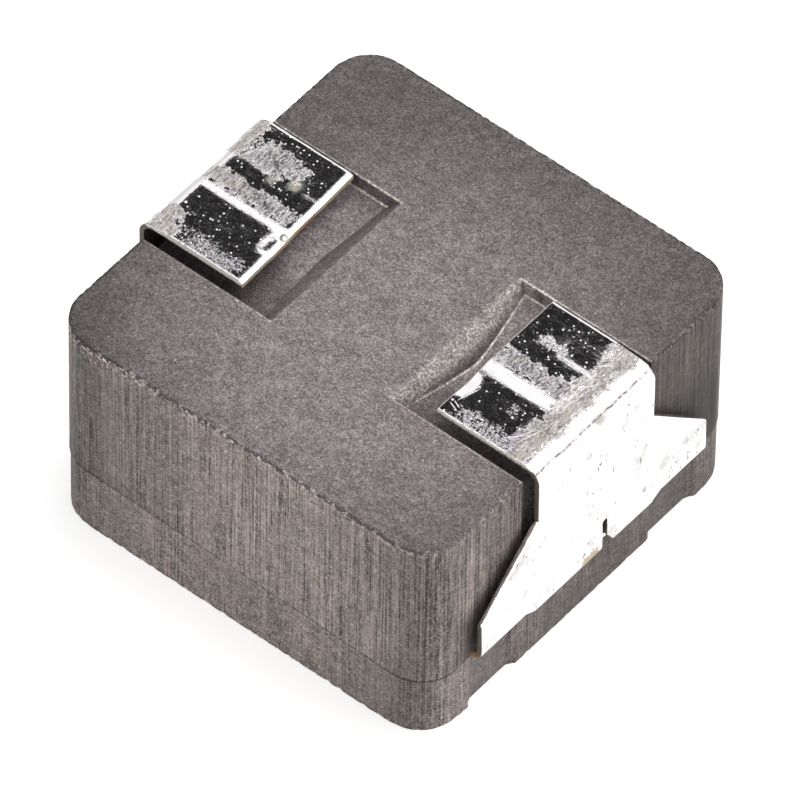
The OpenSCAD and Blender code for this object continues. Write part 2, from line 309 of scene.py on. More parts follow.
def slice_faces(mesh, faces, places, normal):
    """Cuts the faces at each place along normal. Returns all that they became."""
    normal = Vector(normal)
    done = []
    for place in sorted(places):
        geometry = set(faces)
        for face in faces:
            geometry.update(face.edges)
            geometry.update(face.verts)
        cut = bmesh.ops.bisect_plane(mesh, geom=list(geometry), dist=1e-5,
                                     plane_co=normal * place, plane_no=normal)
        faces = []
        for item in cut["geom"]:
            if isinstance(item, bmesh.types.BMFace):
                ahead = item.calc_center_median().dot(normal) > place
                (faces if ahead else done).append(item)
    return done + faces


def round_edges(mesh, edges, radius, clamp):
    """Rounds the edges with two facets."""
    bmesh.ops.bevel(mesh, geom=edges, offset=radius, segments=2, profile=0.5,
                    affect="EDGES", clamp_overlap=clamp)


def make_piece(mesh, name, node, material):
    """Turns a mesh in mm into the piece that stands for a node."""
    for face in mesh.faces:
        face.smooth = True
    for edge in mesh.edges:
        edge.smooth = edge.is_manifold and edge.calc_face_angle() < SHARP_TURN
    bmesh.ops.scale(mesh, vec=(MM, MM, MM), verts=mesh.verts)
    data = bpy.data.meshes.new(name)
    mesh.to_mesh(data)
    mesh.free()
    data.materials.append(material)
    piece = bpy.data.objects.new(name, data)
    bpy.context.scene.collection.objects.link(piece)
    weighted = piece.modifiers.new("keep_flats_flat", "WEIGHTED_NORMAL")
    weighted.keep_sharp = True
    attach(piece, "root")
    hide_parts(node)
    return piece


# ---- The pressed block ----

def past_corner(x, y):
    """How far a point lies past the start of the corner arc, in mm across and along."""
    return abs(x) - STRAIGHT_X, abs(y) - STRAIGHT_Y


def rim_depth(x, y):
    """How far a point lies inside the block's outline, in mm."""
    across, along = past_corner(x, y)
    outside = math.hypot(max(across, 0), max(along, 0))
    return CORNER_R - outside - min(max(across, along), 0)


def inward(x, y):
    """Level direction from the block's outline to its inside."""
    across, along = past_corner(x, y)
    if across > 0 and along > 0:
        way = Vector((across, along, 0)).normalized()
    elif across > along:
        way = Vector((1, 0, 0))
    else:
        way = Vector((0, 1, 0))
    return Vector((-math.copysign(way.x, x), -math.copysign(way.y, y), 0))


def rim_chip(x, y):
    """How far the edge of the solder face is worn away near a point, in mm."""
    crumbs = max(0, wobble(4.3 * x, 4.3 * y, 0, 1) + 0.05)
    bites = max(0, wobble(1.3 * x, 1.3 * y, 0, 2) - 0.2)
    return 0.01 + CRUMB_DEPTH * crumbs + BITE_DEPTH * bites


def foot_chip(x, y):
    """How far the edge of the plain face is worn away near a point, in mm."""
    return FOOT_CRUMB_DEPTH * max(0, wobble(4.1 * x, 4.1 * y, 0, 3) - 0.02)


def parting_rise(x, y):
    """How far the parting line runs above its mean height, in mm."""
    return (PARTING_RISE + PARTING_TILT * x) * ease(abs(y), *PARTING_SET_IN)


def drag_wear(x, y, z):
    """How far the die's drag marks and the ragged lip at the parting line go in, in mm."""
    fine = DRAG_DEPTH * (wobble(4.5 * x, 4.5 * y, 0.05 * z, 4) + 0.7)
    broad = DRAG_DEPTH * (wobble(1.1 * x, 1.1 * y, 0.06 * z, 5) + 0.7)
    lip = 1 - ease(abs(z - LIP_Z), *LIP_HALF_H)
    ragged = wobble(3.6 * x, 3.6 * y, 0, 6)
    upper = 1 if z > PARTING_Z + 0.01 else 0.4
    return max(fine + broad + lip * (LIP_DEPTH * ragged - 0.012) * upper, 0)


def wear_body(point):
    """Where a point of the clean block ends up on the worn one."""
    x, y, z = point
    depth = rim_depth(x, y)
    if depth > WEAR_REACH[1]:
        return point
    skin = 1 - ease(depth, *WEAR_REACH)
    rise = parting_rise(x, y) * (1 - ease(abs(z - PARTING_Z), 0.3, 1.4)) * skin
    move = drag_wear(x, y, z) * skin * inward(x, y) + Vector((0, 0, rise))
    top_share = (1 - ease(TOP_Z - z, 0.0, 0.14)) * (1 - ease(depth, 0.02, 0.16))
    move += rim_chip(x, y) * top_share * (inward(x, y) - Vector((0, 0, 0.8)))
    foot_share = (1 - ease(z, 0.0, 0.2)) * (1 - ease(depth, 0.1, 0.3))
    move += foot_chip(x, y) * foot_share * (inward(x, y) + Vector((0, 0, 0.9)))
    if z < FLARE_Z and depth < FLARE_DEPTH:
        flare = max(depth - 0.005 - 0.03 * ease(z, 0.0, FLARE_Z), 0)
        flare *= 1 - ease(min(abs(x), abs(y)), 8.3, 9.6)
        move -= flare * inward(x, y)
        move.z -= 0.8 * z * (1 - ease(z, 0.04, 0.05))
    return point + move


def face_depth(face):
    """How far a face's middle lies inside the block's outline, in mm."""
    return rim_depth(*face.calc_center_bounds().xy)


def is_shell(face):
    """True for faces on the outside of the block or on the rim of its solder face."""
    depth = face_depth(face)
    if depth > 0.4 or face.calc_area() > LARGE_FACE:
        return False
    height = face.calc_center_bounds().z
    return depth < SKIN or height > TOP_Z - 0.1 or height < 0.01


def add_ring(mesh, side, thickness):
    """Insets the largest face that looks up (side 1) or down (side -1)."""
    face = max(mesh.faces, key=lambda f: f.calc_area() if side * f.normal.z > 0.99 else 0)
    bmesh.ops.inset_region(mesh, faces=[face], thickness=thickness,
                           use_boundary=True, use_even_offset=True)


def soften_seats(mesh):
    """Rounds the upper edges of the two seats a little."""
    edges = [e for e in mesh.edges
             if e.is_manifold and e.is_convex and e.calc_face_angle() > SEAT_EDGE_TURN
             and all(v.co.z > TOP_Z - 0.01 for v in e.verts)
             and all(rim_depth(*v.co.xy) > 0.05 for v in e.verts)]
    round_edges(mesh, edges, SEAT_EDGE_R, True)


def make_body(material):
    """The block with worn edges, drag marks and an uneven parting line."""
    mesh = flat_copy("powder_body")
    for thickness in RIM_RINGS:
        add_ring(mesh, 1, thickness)
    add_ring(mesh, -1, FOOT_RING)
    soften_seats(mesh)
    sides = [f for f in mesh.faces if abs(f.normal.z) < 0.8 and face_depth(f) < SKIN]
    sides = slice_faces(mesh, sides, BODY_ROWS, (0, 0, 1))
    ledge = [f for f in mesh.faces if f.normal.z < -0.9
             and abs(f.calc_center_bounds().z - PARTING_Z) < 0.01]
    rim = [f for f in mesh.faces if abs(f.normal.z) > 0.99 and f.calc_area() < LARGE_FACE
           and not 0.1 < f.calc_center_bounds().z < TOP_Z - 0.1]
    slice_faces(mesh, sides + ledge + rim, steps(-STRAIGHT_Y, STRAIGHT_Y, COLUMN), (0, 1, 0))
    shell = [f for f in mesh.faces if is_shell(f)]
    slice_faces(mesh, shell, steps(-STRAIGHT_X, STRAIGHT_X, COLUMN), (1, 0, 0))
    for vert in mesh.verts:
        vert.co = wear_body(vert.co.copy())
    return make_piece(mesh, "pressed_block", "powder_body", material)


# ---- The leads ----

def ramp(value, centre, half):
    """A nearly straight rise from 0 to 1 round centre."""
    t = min(max((value - centre + half) / (2 * half), 0.0), 1.0)
    return 0.7 * t + 0.3 * t * t * (3 - 2 * t)


def start_pad_wave(x, y):
    """Height of the start pad's waves, in mm: a step along its middle, a ridge that
    falls off to one side, a fall to the bend and a dent at the tip."""
    inner = 1 - ease(x, 9.4, 10.2)
    h = START_STEP_H * ramp(y, -0.65, 0.45) * (0.3 + 0.7 * inner)
    ridge = ramp(y, 1.78, 0.22) - ease(y, 2.1, 4.1)
    h -= START_RIDGE_H * ridge * ease(x, 7.0, 8.5) * inner
    h += UNEVEN_H * wobble(0.5 * x, 1.1 * y, 0, 7)
    h -= START_FALL_H * max(0, (x - 9.7) / 1.05) ** 2
    at_tip = 1 - ease(x, PAD_TIP_X, 6.35)
    h -= START_DENT_H * at_tip * ease(y, -3.0, -2.3) * (1 - ease(y, -1.8, -1.2))
    return h


def finish_pad_wave(x, y):
    """Height of the finish pad's waves, in mm: the same step and ridge, a drooping end
    and a dent at the tip."""
    tip = x + PAD_TIP_X + TIP_SKEW * y
    h = FINISH_STEP_H * ramp(y, -0.58, 0.22)
    ridge = ramp(y, 1.66, 0.12) - ease(y, 1.9, 3.9)
    h -= FINISH_RIDGE_H * ridge * (1 - ease(x, -9.2, -8.5) * (1 - ease(x, -7.4, -6.8)))
    h += UNEVEN_H * wobble(0.5 * x, 1.1 * y, 0, 8)
    h -= DROOP_H * max(0, (tip + DROOP_RUN) / DROOP_RUN) ** 1.2
    at_tip = ease(x, -6.7, -6.1)
    h -= FINISH_DENT_H * at_tip * ease(y, -2.3, -1.8) * (1 - ease(y, -1.2, -0.6))
    return h


def make_lead(node, name, turn, wave, material):
    """A lead with soft edges, a wavy pad and a slightly dented plate. turn is 1 for the
    lead on the right and -1 for the one on the left."""
    mesh = flat_copy(node)
    edges = [e for e in mesh.edges
             if e.is_manifold and e.calc_face_angle() > LEAD_EDGE_TURN]
    round_edges(mesh, edges, LEAD_EDGE_R, False)
    slice_faces(mesh, list(mesh.faces), steps(-PAD_HALF_W, PAD_HALF_W, LEAD_COLUMN), (0, 1, 0))
    pad = [f for f in mesh.faces if f.calc_center_bounds().z > TOP_Z
           and abs(f.calc_center_bounds().x) < BEND_X]
    slice_faces(mesh, pad, steps(PAD_START_X, BEND_X, LEAD_COLUMN), (turn, 0, 0))
    plate = [f for f in mesh.faces if 4.0 < f.calc_center_bounds().z < 12.3]
    slice_faces(mesh, plate, steps(*PLATE_Z, LEAD_ROW), (0, 0, 1))
    heights = {}
    for vert in mesh.verts:
        x, y, z = vert.co
        on_pad = (1 - ease(abs(x), BEND_X, BEND_X + 0.6)) * ease(z, 12.0, 12.5)
        heights[vert] = on_pad * wave(x, y)
    highest = max(heights.values())
    for vert, height in heights.items():
        x, y, z = vert.co
        on_top = ease(z, 12.3, 12.8)
        vert.co.z += height - highest * on_top
        dent = PLATE_DENT * (1 + wobble(0.4 * y, 0.4 * z, 0, 9)) * ease(z, 4.5, 6.0)
        vert.co.x -= math.copysign(dent, x) * ease(abs(x), BEND_X, LEAD_HIGH.x)
    return make_piece(mesh, name, node, material)


# ---- Node trees ----

class Nodes:
    """A node tree in the making. Each method adds nodes and returns an output, and takes
    outputs or plain values."""

    def __init__(self, tree):
        self.tree = tree

    def add(self, kind, **settings):
        """A new node with the given settings."""
        made = self.tree.nodes.new(kind)
        for key, value in settings.items():
            setattr(made, key, value)
        return made

    def feed(self, socket, value):
        """Links an output to a socket, or sets the socket to a plain value."""
        if isinstance(value, bpy.types.NodeSocket):
            self.tree.links.new(value, socket)
        else:
            socket.default_value = value

    def calc(self, operation, a, b=0.0, c=0.0):
        """One step of arithmetic."""
        made = self.add("ShaderNodeMath", operation=operation)
        for socket, value in zip(made.inputs, (a, b, c)):
            self.feed(socket, value)
        return made.outputs[0]

    def plus(self, a, b):
        return self.calc("ADD", a, b)

    def minus(self, a, b):
        return self.calc("SUBTRACT", a, b)

    def times(self, a, b):
        return self.calc("MULTIPLY", a, b)

    def times_plus(self, a, b, c):
        """a times b, plus c."""
        return self.calc("MULTIPLY_ADD", a, b, c)

    def most(self, a, b):
        return self.calc("MAXIMUM", a, b)

    def least(self, a, b):
        return self.calc("MINIMUM", a, b)

    def size(self, a):
        """a without its sign."""
        return self.calc("ABSOLUTE", a)

    def gap(self, a, b):
        """How far apart a and b are."""
        return self.size(self.minus(a, b))

    def fit(self, value, low, high, to_low=0.0, to_high=1.0):
        """value from low..high to to_low..to_high, eased and clamped."""
        made = self.add("ShaderNodeMapRange", interpolation_type="SMOOTHSTEP")
        for socket, given in zip(made.inputs, (value, low, high, to_low, to_high)):
            self.feed(socket, given)
        return made.outputs[0]

    def fade(self, value, low, high):
        """1 below low and 0 above high."""
        return self.fit(value, low, high, 1.0, 0.0)

    def swing(self, value, reach, middle=0.0):
        """A noise value, spread from middle - reach to middle + reach."""
        return self.fit(value, *NOISE_RANGE, middle - reach, middle + reach)

    def window(self, value, low, high, soft):
        """1 between low and high, with soft borders."""
        return self.times(self.fit(value, low - soft, low + soft),
                          self.fade(value, high - soft, high + soft))

    def vector(self, operation, a, b=None, factor=None):
        """One step of vector arithmetic."""
        made = self.add("ShaderNodeVectorMath", operation=operation)
        self.feed(made.inputs[0], a)
        if b is not None:
            self.feed(made.inputs[1], b)
        if factor is not None:
            self.feed(made.inputs["Scale"], factor)
        return made.outputs["Value" if operation in ("DOT_PRODUCT", "LENGTH") else "Vector"]

    def split(self, vector):
        """The x, y and z of a vector."""
        made = self.add("ShaderNodeSeparateXYZ")
        self.feed(made.inputs[0], vector)
        return made.outputs

    def blend(self, share, a, b):
        """A number from a to b."""
        made = self.add("ShaderNodeMix", data_type="FLOAT")
        self.feed(made.inputs[0], share)
        self.feed(made.inputs[2], a)
        self.feed(made.inputs[3], b)
        return made.outputs[0]


class Shade(Nodes):
    """A material in the making. x, y, z and place are the piece's own, in mm."""

    def __init__(self, name):
        self.material = bpy.data.materials.new(name)
        self.material.use_nodes = True
        super().__init__(self.material.node_tree)
        self.bsdf = self.tree.nodes["Principled BSDF"]
        place = self.add("ShaderNodeTexCoord").outputs["Object"]
        self.place = self.vector("SCALE", place, factor=1 / MM)
        self.x, self.y, self.z = self.split(self.place)

    def set(self, **values):
        """Sets inputs of the surface shader, spaces in their names as underscores."""
        for key, value in values.items():
            self.feed(self.bsdf.inputs[key.replace("_", " ")], value)

    def facing(self):
        """How much the surface faces along x, y and z, from 0 to 1 each."""
        normal = self.split(self.add("ShaderNodeNewGeometry").outputs["True Normal"])
        return [self.size(part) for part in normal]

    def textured(self, made, scale, stretch, shift):
        """Gives a texture node its place: scale is in features per mm."""
        at = self.vector("MULTIPLY", self.place, stretch)
        self.feed(made.inputs["Vector"], self.vector("ADD", at, (shift, shift, shift)))
        self.feed(made.inputs["Scale"], scale)

    def noise(self, scale, detail=2.0, rough=0.5, stretch=(1, 1, 1), shift=0.0, warp=0.0):
        """Smooth noise, drawn out along an axis where stretch is below 1."""
        made = self.add("ShaderNodeTexNoise", noise_dimensions="3D")
        self.textured(made, scale, stretch, shift)
        self.feed(made.inputs["Detail"], detail)
        self.feed(made.inputs["Roughness"], rough)
        self.feed(made.inputs["Distortion"], warp)
        return made.outputs[0]

    def cells(self, scale, stretch=(1, 1, 1), shift=0.0):
        """(random value of each cell, distance from its centre)."""
        made = self.add("ShaderNodeTexVoronoi")
        self.textured(made, scale, stretch, shift)
        return self.split(made.outputs["Color"])[0], made.outputs["Distance"]

    def mix(self, share, a, b, kind="MIX"):
        """A colour from a to b."""
        made = self.add("ShaderNodeMix", data_type="RGBA", blend_type=kind)
        self.feed(made.inputs[0], share)
        self.feed(made.inputs[6], a)
        self.feed(made.inputs[7], b)
        return made.outputs[2]

    def grey(self, value):
        """A grey of the given lightness."""
        made = self.add("ShaderNodeCombineColor")
        for socket in made.inputs[:3]:
            self.feed(socket, value)
        return made.outputs[0]

    def bump(self, height, depth, under=None):
        """Relief of the given depth in mm where height goes from 0 to 1."""
        made = self.add("ShaderNodeBump")
        self.feed(made.inputs["Height"], height)
        self.feed(made.inputs["Distance"], depth * MM)
        self.feed(made.inputs["Strength"], 1.0)
        if under is not None:
            self.feed(made.inputs["Normal"], under)
        return made.outputs[0]


# ---- Powder ----

def powder_material():
    """Pressed iron powder: grainy on the solder face, drawn into upright streaks by the die on
    the sides, darker along the broken rim and smoother in the seats, with painted light:
    lighter face middles, glints, the wings' and the parting line's shadows, and highlights and
    shade in the seats."""
    s = Shade("pressed_powder_skin")
    _, ny, nz = s.facing()
    depth = rim_distance(s)
    side = s.times(s.fade(nz, 0.45, 0.75), s.fade(depth, 0.2, 0.35))
    grain, _ = s.cells(GRAINS)
    coarse, _ = s.cells(COARSE_GRAINS, shift=3.0)
    fine = s.noise(FINE_GRAINS, rough=0.7)
    hair = s.noise(HAIRLINES, detail=1.0, rough=0.7, stretch=(1, 1, 0.012))
    dash = s.noise(DASHES, rough=0.7, stretch=(1, 1, 0.12), shift=4.0)
    light = grain_light(s, grain, coarse, fine)
    light = s.plus(light, s.times(streaks(s, hair, dash), side))
    # Painted light: each face lighter in its middle than at its corners
    light = s.times(light, painted_face_light(s, ny, side))
    light = s.times(light, wing_shade(s))
    light = s.times(light, rim_tone_and_glints(s, depth, coarse, fine))
    light = s.plus(light, s.times(crumbs_and_glints(s), side))
    light = s.times(light, parting_tone(s, depth, fine))
    colour = s.mix(side, linear(POWDER_TOP), linear(POWDER_SIDE))
    colour, light = seat_sheen_and_shade(s, colour, light, nz, grain)
    colour = s.mix(1.0, colour, s.grey(s.most(light, 0.05)), "MULTIPLY")
    s.set(Base_Color=colour, Roughness=s.fit(grain, 0.0, 1.0, *POWDER_ROUGH))
    s.set(Specular_IOR_Level=POWDER_GLOSS)
    relief = s.bump(s.plus(s.times(grain, 0.6), fine), GRAIN_RELIEF)
    lines = s.times(s.plus(hair, s.times(dash, 0.5)), side)
    s.set(Normal=s.bump(lines, STREAK_RELIEF, relief))
    return s.material


def rim_distance(s):
    """How far the surface lies inside the block's outline, in mm."""
    across = s.minus(s.size(s.x), STRAIGHT_X)
    along = s.minus(s.size(s.y), STRAIGHT_Y)
    outside = length(s, s.most(across, 0.0), s.most(along, 0.0))
    inside = s.least(s.most(across, along), 0.0)
    return s.minus(s.minus(CORNER_R, outside), inside)


def length(s, across, along):
    """The length of a level way."""
    return s.calc("SQRT", s.times_plus(across, across, s.times(along, along)))


def grain_light(s, grain, coarse, fine):
    """Light and dark grains of three sizes, slow mottling and a few bright glints."""
    light = s.plus(s.fit(grain, 0.0, 1.0, 0.8, 1.18), s.fit(fine, 0.25, 0.75, -0.17, 0.17))
    light = s.plus(light, s.fit(coarse, 0.0, 1.0, -0.07, 0.07))
    light = s.plus(light, s.swing(s.noise(1.8, rough=0.6, shift=31.0), 0.05))
    light = s.calc("POWER", s.most(light, 0.1), 2.2)
    glint, centre = s.cells(GLINTS, shift=11.0)
    light = s.plus(light, s.times(s.fit(glint, 0.93, 0.96), s.fit(centre, 0.1, 0.35, 2.1, 0.0)))
    return s.times(light, s.swing(s.noise(0.9, detail=3.0, rough=0.6), 0.1, 1.0))


def streaks(s, hair, dash):
    """Upright streaks: hairlines, dashes, broader drags and swaths, stronger in patches,
    weaker on the lower band and strongest towards the sides' ends."""
    drag = s.noise(DRAGS, detail=3.0, rough=0.7, stretch=(1, 1, 0.02), shift=7.0)
    swath = s.noise(SWATHS, stretch=(1, 1, 0.05), shift=3.0)
    patchy = s.fit(s.noise(0.5, stretch=(1, 1, 0.5), shift=5.0), 0.35, 0.65, 0.6, 1.3)
    streak = s.plus(s.swing(hair, 0.42), s.swing(drag, 0.18))
    streak = s.plus(streak, s.swing(dash, 0.2))
    streak = s.times(streak, patchy)
    streak = s.times(streak, s.fit(s.z, PARTING_Z - 0.1, PARTING_Z + 0.1, 0.6, 1.0))
    streak = s.times(streak, s.fit(s.size(s.x), 5.0, 10.0, 1.0, 1.3))
    return s.plus(s.plus(streak, s.swing(swath, 0.09)), drag_marks(s))


def drag_marks(s):
    """The few deepest lines that the die drew down the front side, each with a lit edge."""
    marks = 0.0
    for x, low, high, depth in DRAG_MARKS:
        away = s.minus(s.x, x)
        dark = s.fit(s.size(away), 0.01, 0.06, -depth, 0.0)
        lit = s.fit(s.gap(away, 0.09), 0.01, 0.06, 0.6 * depth, 0.0)
        mark = s.times(s.plus(dark, lit), s.window(s.z, low, high, 0.6))
        marks = s.plus(marks, mark)
    return s.times(marks, s.fade(s.y, -10.6, -10.2))


def crumbs_and_glints(s):
    """Broken grains on the sides just below the upper edge, most on the left: some dark, some
    bright with painted glints.
    """
    grains, _ = s.cells(BROKEN_GRAINS, (1, 1, 0.8), 27.0)
    lumps, _ = s.cells(LUMPS, shift=37.0)
    broken = s.plus(s.fit(grains, 0.84, 0.9, 0.0, 1.3), s.fit(grains, 0.06, 0.2, -0.5, 0.0))
    broken = s.times(broken, s.fit(s.z, TOP_Z - 1.6, TOP_Z - 0.2))
    lumpy = s.plus(s.fit(lumps, 0.76, 0.82, 0.0, 2.2), s.fit(lumps, 0.16, 0.24, -0.8, 0.0))
    lumpy = s.times(lumpy, s.fit(s.z, TOP_Z - 0.55, TOP_Z - 0.15))
    return s.times(s.plus(broken, lumpy), s.fit(s.x, -8.0, -3.0, 1.0, 0.35))


def painted_face_light(s, ny, side):
    """Painted light: the middle of each face lighter than its corners, as a near lamp would
    leave it. flank is the front and back sides' painted light, end that of the two sides that
    carry the leads."""
    reach = length(s, s.minus(s.x, 1.0), s.plus(s.y, 2.5))
    top = s.fit(reach, 4.0, 15.5, 0.98, 0.48)
    top = s.times(top, s.fit(s.plus(s.x, s.y), -20.0, -15.5, 0.72, 1.0))
    flank = s.fit(s.gap(s.x, 1.2), 2.5, 11.5, 1.2, 0.58)
    band = s.fit(s.x, -6.5, -1.5, 1.25, 0.9)
    flank = s.times(flank, s.fit(s.z, PARTING_Z - 0.1, PARTING_Z + 0.05, band, 1.0))
    end = s.fit(s.y, -9.0, 4.0, 1.05, 0.61)
    low = s.times(s.fit(s.y, -6.0, -4.0, 1.2, 1.0), s.fit(s.y, 1.0, 6.0, 1.0, 1.25))
    end = s.times(end, s.fit(s.z, PARTING_Z - 0.25, PARTING_Z + 0.25, low, 1.0))
    tone = s.plus(s.times(flank, s.fit(ny, 0.4, 0.9)), s.times(end, s.fade(ny, 0.4, 0.9)))
    return s.plus(s.times(tone, side), s.times(top, s.minus(1.0, side)))


def wing_shade(s):
    """The deep shade that one wing of each lead keeps on the block behind its edge."""
    y = s.times(s.y, s.calc("SIGN", s.x))
    past_end = s.minus(-WING_END_Y, y)
    past_flare = s.times_plus(y, -math.sin(FLARE_SLOPE), -WING_END_Y * math.sin(FLARE_SLOPE))
    past_flare = s.times_plus(s.minus(s.z, WING_TOP_Z), math.cos(FLARE_SLOPE), past_flare)
    away = s.least(s.most(past_end, past_flare), s.minus(-PAD_HALF_W, y))
    reach = s.fit(s.z, 6.5, 10.0, 1.2, 0.4)
    shade = s.fit(away, 0.0, reach, s.fit(s.z, 6.5, 10.0, 0.66, 0.35), 0.0)
    shade = s.times(shade, s.fit(s.size(s.x), BODY_HIGH.x - 0.25, BODY_HIGH.x - 0.1))
    shade = s.times(shade, s.window(s.z, PARTING_Z, TOP_Z, 0.15))
    return s.minus(1.0, shade)


def rim_tone_and_glints(s, depth, coarse, fine):
    """Darker along the broken upper and lower edges, with a few bright crumbs that carry
    painted glints.
    """
    ragged = s.swing(fine, 0.07)
    near = s.fade(s.plus(depth, ragged), 0.09, 0.2)
    high = s.fit(s.plus(s.z, ragged), TOP_Z - 0.16, TOP_Z - 0.07)
    low = s.fade(s.plus(s.z, ragged), 0.06, 0.16)
    broken = s.times(near, s.most(high, low))
    # Most of the rim darker, a few crumbs brighter with painted glints
    crumbs = s.fit(coarse, 0.8, 0.84, s.fit(s.x, 9.5, 10.8, 0.42, 0.85), 1.7)
    return s.plus(1.0, s.times(broken, s.minus(crumbs, 1.0)))


def parting_tone(s, depth, fine):
    """The dark line where the two halves of the die met, which is painted shadow under the
    upper half's overhang, with crumbs along it, a lighter lip below it and a slow painted shade
    above it."""
    tilt = s.times_plus(s.x, PARTING_TILT, PARTING_RISE)
    rise = s.times(tilt, s.fit(s.size(s.y), *PARTING_SET_IN))
    up = s.minus(s.minus(s.z, PARTING_Z), rise)
    up = s.plus(up, s.swing(fine, 0.03))
    away = s.size(up)
    bits, _ = s.cells(PARTING_CRUMBS, shift=21.0)
    # Painted shadow under the upper half's overhang
    dark = s.fit(s.size(s.x), 6.0, 9.5, 0.55, 0.85)
    dark = s.times(dark, s.fit(bits, 0.1, 0.6, 0.7, 1.2))
    line = s.times(s.fade(away, 0.06, 0.13), dark)
    lip = s.fit(s.size(s.plus(up, 0.14)), 0.02, 0.08, 0.22, 0.0)
    crumb = s.times(s.fit(bits, 0.9, 0.93, 0.0, 0.9), s.fade(away, 0.05, 0.12))
    above = s.times(s.fit(up, -0.02, 0.02, 0.0, -0.2), s.fade(up, 0.1, 1.6))
    above = s.times(above, s.fit(s.x, -10.0, -4.0, 1.0, 0.2))
    change = s.plus(s.plus(lip, crumb), s.minus(above, line))
    return s.times_plus(s.fade(depth, 0.2, 0.3), change, 1.0)


def seat_sheen_and_shade(s, colour, light, nz, grain):
    """Burnished shoulders of the two seats with a painted highlight on them, painted shade down
    their walls, floors darker to the front with a painted shadow by the finish pad's tip, and
    painted highlight lines along the walls' edges. run grows with the way out and down from the
    inner edge, so the highlight on the shoulder is a straight strip."""
    wide = s.fade(s.size(s.y), SEAT_HALF_W - 0.02, SEAT_HALF_W + 0.06)
    run = s.times_plus(s.minus(TOP_Z, s.z), 0.53, s.minus(s.x, SEAT_X))
    wall = s.times(wide, s.fit(s.z, SEAT_FLOOR_Z + 0.02, SEAT_FLOOR_Z + 0.06))
    slope = s.times(wall, s.fit(s.x, SEAT_X - 0.25, SEAT_X + 0.05))
    slope = s.times(slope, s.fade(s.x, SEAT_X + 1.25, SEAT_X + 1.4))
    # Painted highlight on the start seat's burnished shoulder
    shine = s.times(slope, s.fade(run, 0.6, 1.1))
    shine = s.times(shine, s.fit(grain, 0.1, 0.9, 0.25, 0.55))
    colour = s.mix(shine, colour, linear(SEAT_SHINE))
    # Painted shade down the start seat's bowed wall, and on the finish seat's far wall
    shade = s.times(slope, s.fit(run, 0.8, 1.6, 0.0, 0.62))
    far_wall = s.times(wall, s.fit(nz, 0.96, 0.9))
    shade = s.most(shade, s.times(far_wall, s.fit(s.x, -2.0, -3.0, 0.0, 0.3)))
    light = s.times(light, s.minus(1.0, shade))
    on_floor = s.fade(s.z, SEAT_FLOOR_Z + 0.02, SEAT_FLOOR_Z + 0.08)
    on_floor = s.times(on_floor, s.fit(s.z, SEAT_FLOOR_Z - 0.3, SEAT_FLOOR_Z - 0.1))
    on_floor = s.times(on_floor, wide)
    # Floors darker towards the front, with a painted shadow in front of the finish pad's tip
    floor_tone_and_shadow = s.fit(s.y, -2.6, -0.6, 0.62, 1.12)
    tip_shadow = s.fit(s.x, -5.9, -4.6, s.fit(s.y, -1.5, 0.5, 0.6, 1.0), 1.0)
    floor_tone_and_shadow = s.times(floor_tone_and_shadow, tip_shadow)
    light = s.times(light, s.times_plus(on_floor, s.minus(floor_tone_and_shadow, 1.0), 1.0))
    # Painted highlight lines along the walls' edges and the start seat's crease
    lines = s.most(wall_highlights(s, on_floor), s.times(crease_highlight(s), 0.8))
    return s.mix(lines, colour, linear(SEAT_EDGE_HIGHLIGHT)), light


def wall_highlights(s, on_floor):
    """Painted highlight: 1 on the upper edge and the foot of the seats' side walls, less to the
    front.
    """
    inner = s.fit(s.size(s.x), SEAT_X - 0.1, SEAT_X)
    off = s.gap(s.size(s.y), SEAT_HALF_W)
    edge = s.times(s.fade(off, 0.04, 0.13), s.fit(s.z, TOP_Z - 0.1, TOP_Z - 0.02))
    foot = s.times(s.fade(off, 0.07, 0.14), on_floor)
    lines = s.times(inner, s.most(edge, foot))
    return s.times(lines, s.fit(s.y, -4.0, 0.0, 0.3, 1.0))


def crease_highlight(s):
    """Painted highlight: 1 on the foot of the start seat's bowed wall."""
    bow = s.calc("POWER", s.calc("DIVIDE", s.size(s.y), SEAT_HALF_W), SEAT_BOW)
    run = s.times_plus(s.minus(1.0, bow), START_RUN_MID - START_RUN_END, START_RUN_END)
    line = s.fade(s.gap(s.x, s.plus(run, SEAT_X + 0.03)), 0.02, 0.08)
    line = s.times(line, s.window(s.z, SEAT_FLOOR_Z - 0.2, SEAT_FLOOR_Z + 0.08, 0.04))
    return s.times(line, s.fade(s.size(s.y), SEAT_HALF_W - 0.03, SEAT_HALF_W))


# ---- Tin and copper ----

